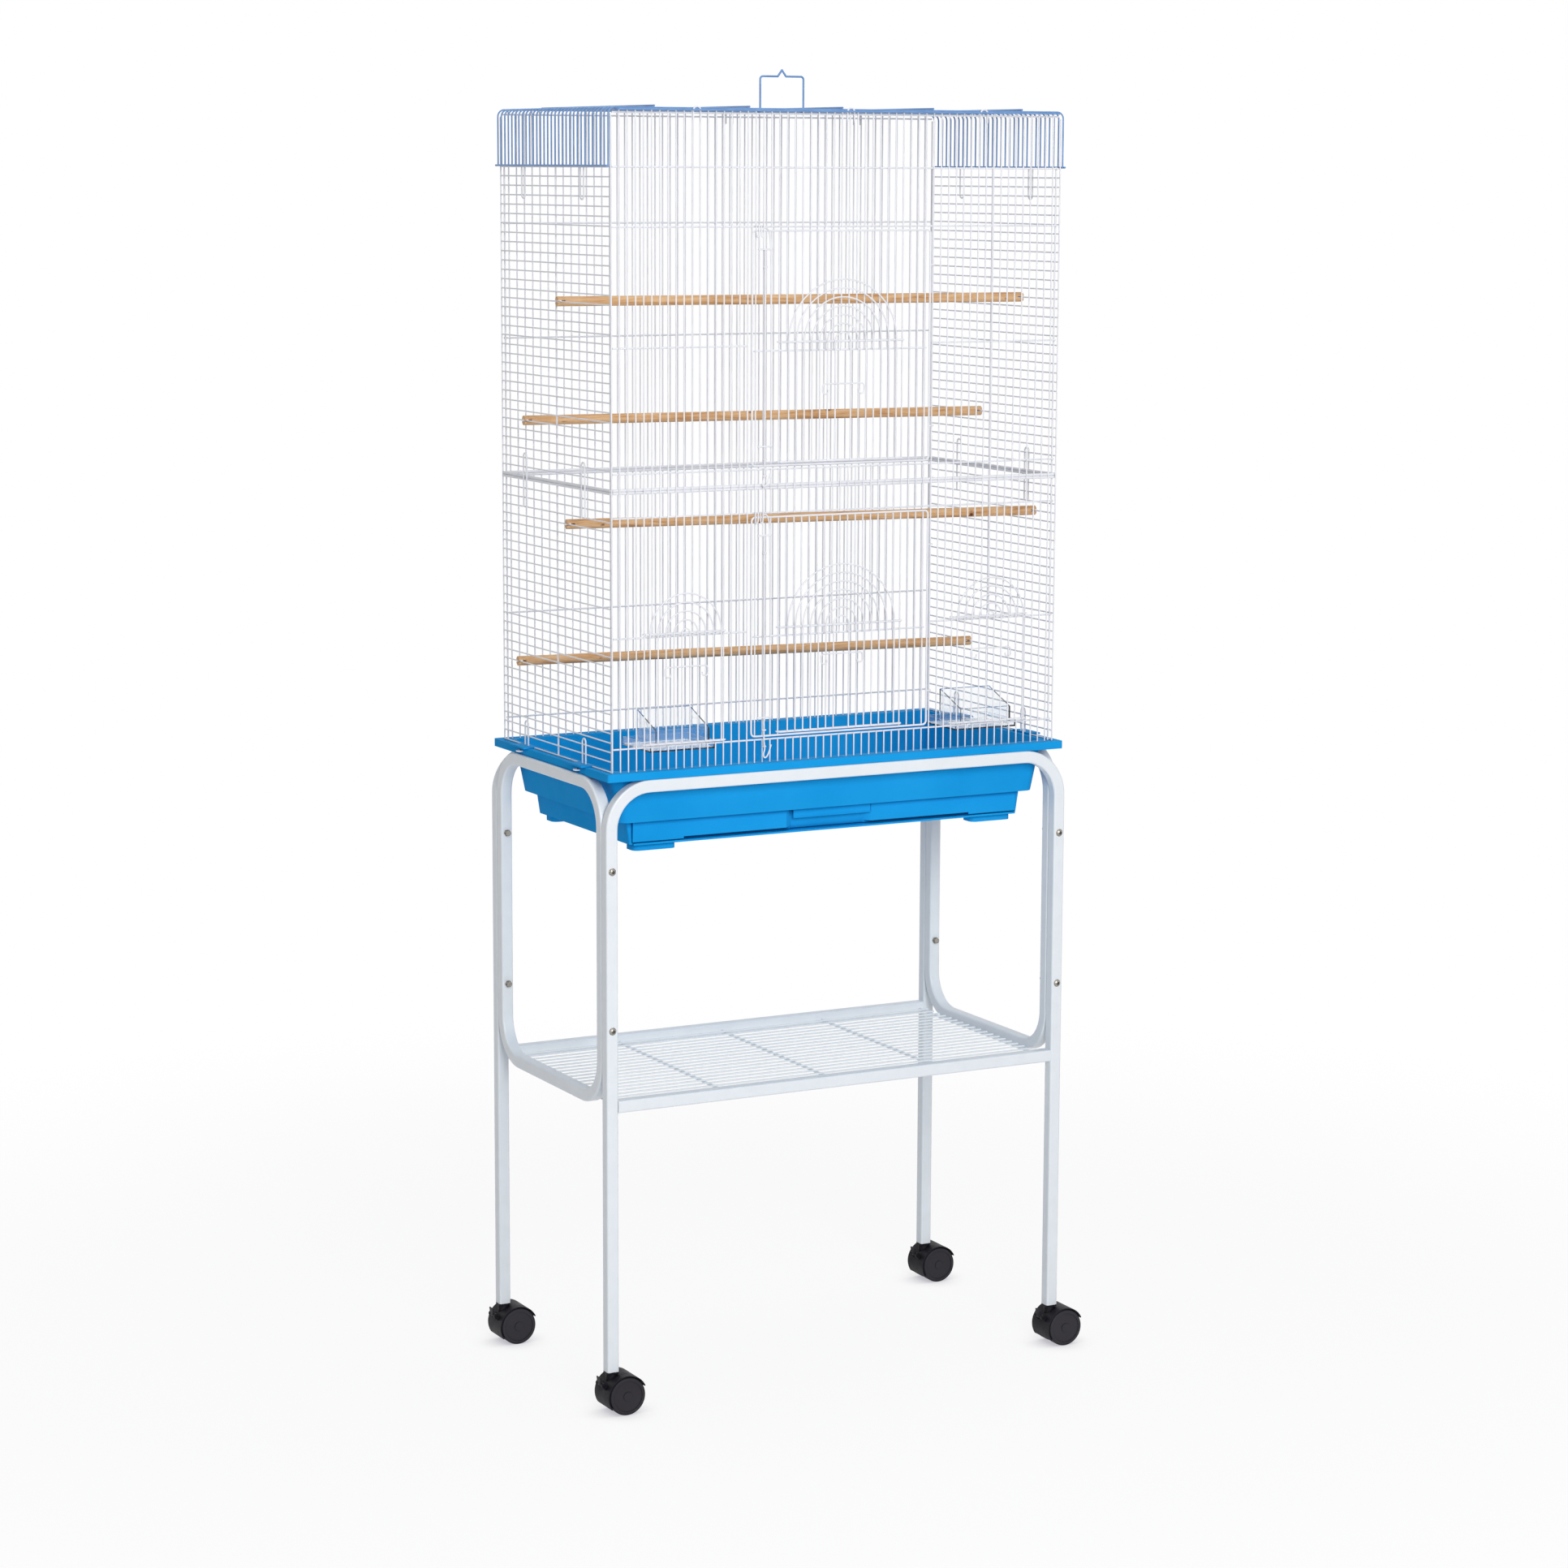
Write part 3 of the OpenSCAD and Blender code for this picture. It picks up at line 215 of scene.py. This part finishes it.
def moulded(name, colour, shade, gloss, rough, grain_per_metre, grain_depth):
    """Moulded plastic: flow clouds in the colour, painted shade in its crease corners, and the fine grain of the
    mould.
    """
    made, tree, shader = new_finish(name, Specular_IOR_Level=gloss)
    clouds = ramp(tree, noise(tree, CLOUDS_PER_METRE, detail=4), (NOISE_LOW, shade), (NOISE_HIGH, colour))
    # Painted shade: the plastic's colour darkens where another face is near
    tree.links.new(multiply(tree, clouds, painted_crease_shade(tree, CREASE_REACH, CREASE_PAINTED_SHADE)), shader.inputs["Base Color"])
    tree.links.new(spread(tree, noise(tree, WEAR_PER_METRE), *rough), shader.inputs["Roughness"])
    bump(tree, shader, noise(tree, grain_per_metre, detail=2), grain_depth)
    return made


def turned_wood(name):
    """Softwood dowel: grain drawn out along its length, and a few dark knots."""
    made, tree, shader = new_finish(name, Specular_IOR_Level=0.3)
    grain = noise(tree, 1, detail=5, stretch=GRAIN_STRETCH)
    colour = ramp(tree, grain, (0.25, WOOD_DARK), (0.42, WOOD_MID), (0.6, WOOD_PALE))
    knots = ramp(tree, noise(tree, 1, detail=2, stretch=KNOT_STRETCH), (0.68, WHITE), (0.74, WOOD_KNOT))
    tree.links.new(multiply(tree, colour, knots), shader.inputs["Base Color"])
    tree.links.new(spread(tree, grain, 0.7, 0.5), shader.inputs["Roughness"])
    bump(tree, shader, grain, GRAIN_DEPTH, strength=0.6)
    return made


def clear_plastic(name):
    """Clear moulded plastic with a faint haze."""
    made, tree, shader = new_finish(name, Base_Color=CLEAR_PLASTIC, Transmission_Weight=0.98, IOR=1.32)
    tree.links.new(spread(tree, noise(tree, HAZE_PER_METRE), 0.01, 0.05), shader.inputs["Roughness"])
    bump(tree, shader, noise(tree, WAVES_PER_METRE), WAVE_DEPTH, strength=0.4)
    return made


def plated(name):
    """Bright zinc plate with fine turned marks, and painted shade in its sockets."""
    made, tree, shader = new_finish(name, Metallic=1.0)
    spangle = noise(tree, SPANGLE_PER_METRE, detail=4)
    colour = ramp(tree, spangle, (NOISE_LOW, ZINC_SHADE), (NOISE_HIGH, ZINC))
    # Painted shade: the zinc darkens inside its sockets, where another face is near
    tree.links.new(multiply(tree, colour, painted_crease_shade(tree, PAINTED_SOCKET_SHADE_REACH, ZINC_PAINTED_SHADE)), shader.inputs["Base Color"])
    tree.links.new(spread(tree, spangle, 0.22, 0.4), shader.inputs["Roughness"])
    bump(tree, shader, spangle, SPANGLE_DEPTH)
    return made


FINISHES = {
    "white_wire": powder_coat("white_wire_coat", WHITE_COAT, WHITE_COAT_SHADE),
    "blue_wire": powder_coat("blue_wire_coat", ROOF_COAT, ROOF_COAT_SHADE),
    "white_tube": powder_coat("white_tube_coat", TUBE_COAT, TUBE_COAT_SHADE),
    "blue_plastic": moulded("blue_plastic_moulded", BLUE_PLASTIC, BLUE_PLASTIC_SHADE, gloss=0.01,
                            rough=(0.36, 0.48), grain_per_metre=1400, grain_depth=0.05 * MM),
    "black_plastic": moulded("black_plastic_moulded", BLACK_PLASTIC, BLACK_PLASTIC_SHADE, gloss=0.1,
                             rough=(0.4, 0.55), grain_per_metre=1800, grain_depth=0.08 * MM),
    "wood": turned_wood("turned_wood"),
    "clear_plastic": clear_plastic("clear_plastic"),
    "zinc": plated("zinc_plate"),
}
WHEEL_FINISH = moulded("wheel_plastic_moulded", WHEEL_PLASTIC, WHEEL_PLASTIC_SHADE, gloss=0.1,
                       rough=(0.45, 0.6), grain_per_metre=1800, grain_depth=0.08 * MM)


def dress(obj, finish):
    """Gives an object one finish."""
    obj.data.materials.clear()
    obj.data.materials.append(finish)


for node, solid in NODES.items():
    dress(solid, WHEEL_FINISH if node.endswith("_wheel") else FINISHES[SLOT_OF[node]])


# Building blocks of the pieces
SOFT_ANGLE = math.radians(30)
FLAT_ANGLE = math.radians(0.5)
WELD_REACH = 0.001 * MM


def box_of(node):
    """The two corners of a node's box."""
    return [Vector(corner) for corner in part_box(node)]


def finished_mesh(name, work, smooth=True):
    """Mesh of what was built."""
    for face in work.faces:
        face.smooth = smooth
    mesh = bpy.data.meshes.new(name)
    work.to_mesh(mesh)
    work.free()
    return mesh


def linked(name, data):
    """An object of the scene."""
    made = bpy.data.objects.new(name, data)
    bpy.context.scene.collection.objects.link(made)
    return made


def add_piece(name, data, body, slot):
    """A dressed piece that rides on a body."""
    piece = linked(name, data)
    dress(piece, FINISHES[slot])
    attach(piece, body)
    return piece


def round_edges(piece, width, segments):
    """Rounds the sharp edges of a piece."""
    rounding = piece.modifiers.new("rounding", "BEVEL")
    rounding.width = width
    rounding.segments = segments
    rounding.limit_method = "ANGLE"
    rounding.angle_limit = SOFT_ANGLE
    rounding.harden_normals = True


def softened(node, width, segments=2):
    """A copy of a solid with its sharp edges rounded, which stands for the solid."""
    work = bmesh.new()
    work.from_mesh(NODES[node].data)
    bmesh.ops.remove_doubles(work, verts=work.verts, dist=WELD_REACH)
    bmesh.ops.dissolve_limit(work, angle_limit=FLAT_ANGLE, verts=work.verts, edges=work.edges)
    name = node + "_soft"
    piece = add_piece(name, finished_mesh(name, work), BODY_OF[node], SLOT_OF[node])
    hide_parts(node)
    round_edges(piece, width, segments)
    return piece


def shell(name, rings, body, slot, edge, segments=2):
    """A closed piece through rings of points, with capped ends and rounded edges."""
    work = bmesh.new()
    rows = [[work.verts.new(point) for point in ring] for ring in rings]
    for row, after in zip(rows, rows[1:]):
        for at in range(len(row)):
            beside = (at + 1) % len(row)
            work.faces.new((row[at], row[beside], after[beside], after[at]))
    work.faces.new(rows[0])
    work.faces.new(rows[-1])
    bmesh.ops.recalc_face_normals(work, faces=work.faces)
    round_edges(add_piece(name, finished_mesh(name, work), body, slot), edge, segments)


# Moulded pieces with soft edges
BASE_EDGE, DRAWER_EDGE, HOOD_EDGE = 0.6 * MM, 0.5 * MM, 0.35 * MM

softened("base", BASE_EDGE, segments=3)
softened("drawer", DRAWER_EDGE, segments=3)
for corner in CORNERS:
    softened(corner + "_hood", HOOD_EDGE)


# Pull lip of the drawer, with a rolled lower edge: section as steps back and up from its front upper edge, in
# millimetres, and how far that edge lies under the top of the drawer
PULL_FROM, PULL_TO = -52.5 * MM, 61 * MM
PULL_SECTION = ((8, 0), (-0.5, 0), (-0.5, -10), (-1.3, -11.2), (-1.2, -12.1), (-0.3, -12.5), (0.8, -12),
                (1, -11), (1, -2.2), (8, -2.2))
PULL_DROP = 0.2
PULL_EDGE = 0.4 * MM


def pull_lip():
    """Lip along the top of the drawer's recess, which runs into the recess's right end."""
    low, high = box_of("drawer")
    rings = [[(x, low.y + back * MM, high.z + (up - PULL_DROP) * MM) for back, up in PULL_SECTION]
             for x in (PULL_FROM, PULL_TO)]
    shell("drawer_pull_lip", rings, "tray", "blue_plastic", PULL_EDGE)


pull_lip()


# Casters: the hood's rim round the wheels, from front to back in degrees, and the short blade of the brake
RIM_FROM, RIM_TO, RIM_STEPS = 25, 214, 42
RIM_GAP, RIM_WALL, RIM_EDGE = 0.8 * MM, 1.6 * MM, 0.4 * MM
BLADE_TURN = math.radians(36)
BLADE_KEPT = 0.66
BLADE_ROOT = 4 * MM
BLADE_EDGE = 0.4 * MM


def hood_rim(corner):
    """Shell over both wheels that runs down behind them, as wide as the wheels' outer faces."""
    lows, highs = zip(*(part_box(f"{corner}_{side}_wheel") for side in ("near", "far")))
    low, high = Vector(tuple(map(min, *lows))), Vector(tuple(map(max, *highs)))
    middle = (low + high) / 2
    inner = (high.z - low.z) / 2 + RIM_GAP
    outer = inner + RIM_WALL
    rings = []
    for step in range(RIM_STEPS + 1):
        angle = math.radians(RIM_FROM + (RIM_TO - RIM_FROM) * step / RIM_STEPS)
        rings.append([(middle.x + radius * math.cos(angle), y, middle.z + radius * math.sin(angle))
                      for radius, y in ((inner, low.y), (outer, low.y), (outer, high.y), (inner, high.y))])
    shell(corner + "_hood_rim", rings, corner + "_caster", "black_plastic", RIM_EDGE)


def brake_blade(corner):
    """The brake's lever, with its blade short and steep, as the real one's."""
    piece = softened(corner + "_brake", BLADE_EDGE)
    pin = Vector(next(j["pos_m"] for j in RECORD["behaviour"]["joints"] if j["child"] == corner + "_brake"))
    turn = Matrix.Rotation(BLADE_TURN, 4, "Y")
    for vertex in piece.data.vertices:
        arm = vertex.co - pin
        if math.hypot(arm.x, arm.z) > BLADE_ROOT:
            vertex.co = pin + turn @ Vector((arm.x * BLADE_KEPT, arm.y, arm.z * BLADE_KEPT))


for corner in CORNERS:
    hood_rim(corner)
    brake_blade(corner)


# Perches with the deep slots of turned dowels
PERCHES = 4
PERCH_SLOT_DEPTH = 10 * MM
PERCH_SLOT_HEIGHT = 2.9 * MM
PERCH_EDGE = 0.5 * MM


def block(low, high):
    """Plain box between two corners, to cut with."""
    low, high = Vector(low), Vector(high)
    work = bmesh.new()
    bmesh.ops.create_cube(work, size=1)
    bmesh.ops.scale(work, vec=high - low, verts=work.verts)
    bmesh.ops.translate(work, vec=(high + low) / 2, verts=work.verts)
    return linked("block", finished_mesh("block", work, smooth=False))


def slotted(node):
    """A perch whose end slots are as deep as on the real dowel."""
    piece = softened(node, PERCH_EDGE)
    low, high = box_of(node)
    middle = (low.z + high.z) / 2
    blocks = []
    for end in (low.x, high.x):
        cutter = block((end - PERCH_SLOT_DEPTH, 2 * low.y - high.y, middle - PERCH_SLOT_HEIGHT / 2),
                       (end + PERCH_SLOT_DEPTH, 2 * high.y - low.y, middle + PERCH_SLOT_HEIGHT / 2))
        piece.modifiers.new("slot", "BOOLEAN").object = cutter
        blocks.append(cutter)
    piece.modifiers.move(piece.modifiers.find("rounding"), len(piece.modifiers) - 1)
    whole = piece.evaluated_get(bpy.context.evaluated_depsgraph_get())
    finished = bpy.data.meshes.new_from_object(whole)
    piece.modifiers.clear()
    piece.data = finished
    for cutter in blocks:
        bpy.data.objects.remove(cutter)


for number in range(PERCHES):
    slotted(f"perch_{number + 1}")


# Small bent wires
WIRE = 1.8 * MM
# Foot of a latch rod, bent into a hook: steps to the right and up from the rod's end, in millimetres
HOOK_STEPS = ((0, 6), (-0.5, -2), (-3, -9), (-2.5, -14), (1, -14.5), (5, -8), (8, 2))
# How far a hook bows forward below the rod, and to the right, to clear the rim of the base when it is lowered
HOOK_BOW = {"upper": (0, 0), "lower": (9.5, -2.5)}
# Upper end of a latch: a second rod beside the first, and the two loops over the bar above the door
RETURN_STEPS = ((8, -97), (8, -40), (7, -6), (2, 4), (-1, 2))
LOOP_STEPS = ((-1.8, 6), (-2, -6), (0, -10), (2, -6), (1.8, 6))
LOOP_SHIFTS = (-4, -11)
# The wire along the roof's front edge: how far its ends stay inside the skirt, and the length of its bends
ROOF_WIRE = 2.2 * MM
ROOF_INSET = 13 * MM
ROOF_BEND = 5 * MM


def bent_wires(name, lines, diameter, body, slot="white_wire"):
    """Smooth round wires through lists of points, as one piece on a body."""
    curve = bpy.data.curves.new(name, "CURVE")
    curve.dimensions = "3D"
    curve.bevel_depth = diameter / 2
    curve.bevel_resolution = 3
    curve.use_fill_caps = True
    for line in lines:
        spline = curve.splines.new("NURBS")
        spline.points.add(len(line) - 1)
        for point, at in zip(spline.points, line):
            point.co = (*at, 1)
        spline.order_u = 3
        spline.use_endpoint_u = True
        spline.resolution_u = 6
    add_piece(name, curve, body, slot)


def latch_wires(level):
    """Hooks and loops of a door's latch, in front of the door."""
    low, high = box_of(level + "_latch")
    door_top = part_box(level + "_main_door")[1][2]
    x, y = (low.x + high.x) / 2, (low.y + high.y) / 2
    forward, across = HOOK_BOW[level]
    hook = [(x + HOOK_STEPS[0][0] * MM, y, low.z + HOOK_STEPS[0][1] * MM)]
    hook += [(x + (dx + across) * MM, y - forward * MM, low.z + dz * MM) for dx, dz in HOOK_STEPS[1:]]
    back = [(x + dx * MM, y, door_top + dz * MM) for dx, dz in RETURN_STEPS]
    bent_wires(level + "_latch_hook", [hook, back], WIRE, level + "_latch_rod")
    loops = [[(x + (shift + dx) * MM, y, door_top + dz * MM) for dx, dz in LOOP_STEPS] for shift in LOOP_SHIFTS]
    bent_wires(level + "_door_loops", loops, WIRE, level + "_door")


def foot_wires():
    """Foot wires of the two sides, which lie on the rim of the base under its flaps."""
    lines = []
    for node in ("lower_left_panel", "lower_right_panel"):
        low, high = box_of(node)
        outer = low.x + WIRE / 2 if low.x < 0 else high.x - WIRE / 2
        z = low.z + WIRE / 2
        lines.append([(outer, low.y, z), (outer, 0, z), (outer, high.y, z)])
    bent_wires("side_foot_wires", lines, WIRE, "cage")


def roof_front_wire():
    """Wire along the roof's front edge, over the tips of the front wires, bent back to the roof at both ends."""
    low, high = box_of("roof")
    panel_low, panel_high = box_of("upper_front_panel")
    front, back = panel_low.y - ROOF_WIRE / 2, low.y + ROOF_WIRE / 2
    top = panel_high.z - ROOF_WIRE / 2
    left, right = low.x + ROOF_INSET, high.x - ROOF_INSET
    line = [(left, back, top), (left, front, top), (left + ROOF_BEND, front, top),
            (right - ROOF_BEND, front, top), (right, front, top), (right, back, top)]
    bent_wires("roof_front_wire", [line], ROOF_WIRE, "cage", "blue_wire")


for level in ("upper", "lower"):
    latch_wires(level)
foot_wires()
roof_front_wire()


# Floor, light and camera
def combine(tree, operation, first, second):
    """Two numbers put together."""
    made = tree.nodes.new("ShaderNodeMath")
    made.operation = operation
    tree.links.new(first, made.inputs[0])
    tree.links.new(second, made.inputs[1])
    return made.outputs[0]


def seen_ray(tree):
    """1 for what the camera sees, straight, by reflection or through clear plastic."""
    path = tree.nodes.new("ShaderNodeLightPath").outputs
    direct = combine(tree, "MAXIMUM", path["Is Camera Ray"], path["Is Glossy Ray"])
    return combine(tree, "MAXIMUM", direct, path["Is Transmission Ray"])


FLOOR_HALF = 12.0
FLOOR_WHITE_NEAR = 0.88
FLOOR_FADE = (0.7, 2.2)
# Reach and ramp stops of the shadow painted into the floor's glow
FLOOR_SHADE_REACH = 0.09
FLOOR_SHADE_DARK, FLOOR_SHADE_OPEN = 0.1, 0.85


def floor():
    """Pale floor that keeps the shadow near the cage, with more shadow painted into its glow close to the cage,
    and runs out into white.
    """
    mesh = bpy.data.meshes.new("floor")
    corners = [(x * FLOOR_HALF, y * FLOOR_HALF, 0) for x, y in ((-1, -1), (1, -1), (1, 1), (-1, 1))]
    mesh.from_pydata(corners, [], [(0, 1, 2, 3)])
    made = linked("floor", mesh)
    paint = bpy.data.materials.new("pale_floor")
    paint.use_nodes = True
    tree = paint.node_tree
    tree.nodes.clear()
    plain = tree.nodes.new("ShaderNodeBsdfDiffuse")
    plain.inputs["Color"].default_value = FLOOR
    glow = tree.nodes.new("ShaderNodeEmission")
    # Painted shadow: the glow darkens where the cage stands close to the floor
    tree.links.new(ramp(tree, openness(tree, FLOOR_SHADE_REACH), (FLOOR_SHADE_DARK, FLOOR_PAINTED_SHADOW),
                        (FLOOR_SHADE_OPEN, WHITE)), glow.inputs["Color"])
    reach = tree.nodes.new("ShaderNodeVectorMath")
    reach.operation = "LENGTH"
    tree.links.new(place(tree), reach.inputs[0])
    fade = tree.nodes.new("ShaderNodeMapRange")
    fade.interpolation_type = "SMOOTHSTEP"
    for socket, value in (("From Min", FLOOR_FADE[0]), ("From Max", FLOOR_FADE[1]),
                          ("To Min", FLOOR_WHITE_NEAR), ("To Max", 1.0)):
        fade.inputs[socket].default_value = value
    tree.links.new(reach.outputs["Value"], fade.inputs["Value"])
    shown = combine(tree, "MULTIPLY", fade.outputs["Result"], seen_ray(tree))
    mix = tree.nodes.new("ShaderNodeMixShader")
    tree.links.new(shown, mix.inputs["Fac"])
    tree.links.new(plain.outputs["BSDF"], mix.inputs[1])
    tree.links.new(glow.outputs["Emission"], mix.inputs[2])
    output = tree.nodes.new("ShaderNodeOutputMaterial")
    tree.links.new(mix.outputs["Shader"], output.inputs["Surface"])
    mesh.materials.append(paint)


AMBIENT = 0.29


def world():
    """White to the camera, and an even soft light on the cage."""
    made = bpy.data.worlds.new("studio")
    bpy.context.scene.world = made
    made.use_nodes = True
    tree = made.node_tree
    tree.nodes.clear()
    shown = tree.nodes.new("ShaderNodeBackground")
    shown.inputs["Color"].default_value = WHITE
    light = tree.nodes.new("ShaderNodeBackground")
    light.inputs["Color"].default_value = WHITE
    light.inputs["Strength"].default_value = AMBIENT
    mix = tree.nodes.new("ShaderNodeMixShader")
    tree.links.new(seen_ray(tree), mix.inputs["Fac"])
    tree.links.new(light.outputs["Background"], mix.inputs[1])
    tree.links.new(shown.outputs["Background"], mix.inputs[2])
    output = tree.nodes.new("ShaderNodeOutputWorld")
    tree.links.new(mix.outputs["Shader"], output.inputs["Surface"])


# Soft lights: name, place, length of a side and power in watts
LIGHTS = (("key_light", (-0.9, -4.4, 2.5), 2.0, 140),
          ("left_light", (-3.6, -1.2, 2.2), 2.0, 8),
          ("top_light", (0.3, 0.4, 4.2), 2.4, 36))
LIGHT_AIM = Vector((0, 0, 0.9))


def softbox(name, at, size, power):
    """Square soft light aimed at the middle of the cage."""
    data = bpy.data.lights.new(name, "AREA")
    data.shape = "SQUARE"
    data.size = size
    data.energy = power
    made = linked(name, data)
    made.location = at
    made.rotation_euler = (LIGHT_AIM - Vector(at)).to_track_quat("-Z", "Y").to_euler()


# The camera, as solved from the straight edges of the cage: place, turns in radians, focal length in pixels
CAMERA_AT = Vector((-2.3762, -4.5125, 1.5787))
CAMERA_YAW = 0.4862
CAMERA_PITCH = 0.1576
CAMERA_ROLL = 0.0042
FOCAL_PIXELS = 4790.37
FRAME_PIXELS = 1932
SENSOR_MM = 36


def camera():
    """The camera at the photograph's place and angle."""
    data = bpy.data.cameras.new("camera")
    data.sensor_width = SENSOR_MM
    data.lens = FOCAL_PIXELS / FRAME_PIXELS * SENSOR_MM
    made = linked("camera", data)
    ahead = Vector((math.sin(CAMERA_YAW) * math.cos(CAMERA_PITCH), math.cos(CAMERA_YAW) * math.cos(CAMERA_PITCH),
                    -math.sin(CAMERA_PITCH)))
    level = Vector((math.cos(CAMERA_YAW), -math.sin(CAMERA_YAW), 0))
    upright = level.cross(ahead)
    right = level * math.cos(CAMERA_ROLL) + upright * math.sin(CAMERA_ROLL)
    up = upright * math.cos(CAMERA_ROLL) - level * math.sin(CAMERA_ROLL)
    turn = Matrix((right, up, -ahead)).transposed().to_4x4()
    made.matrix_world = Matrix.Translation(CAMERA_AT) @ turn
    bpy.context.scene.camera = made


floor()
world()
for light in LIGHTS:
    softbox(*light)
camera()
bpy.context.scene.view_settings.view_transform = "Standard"
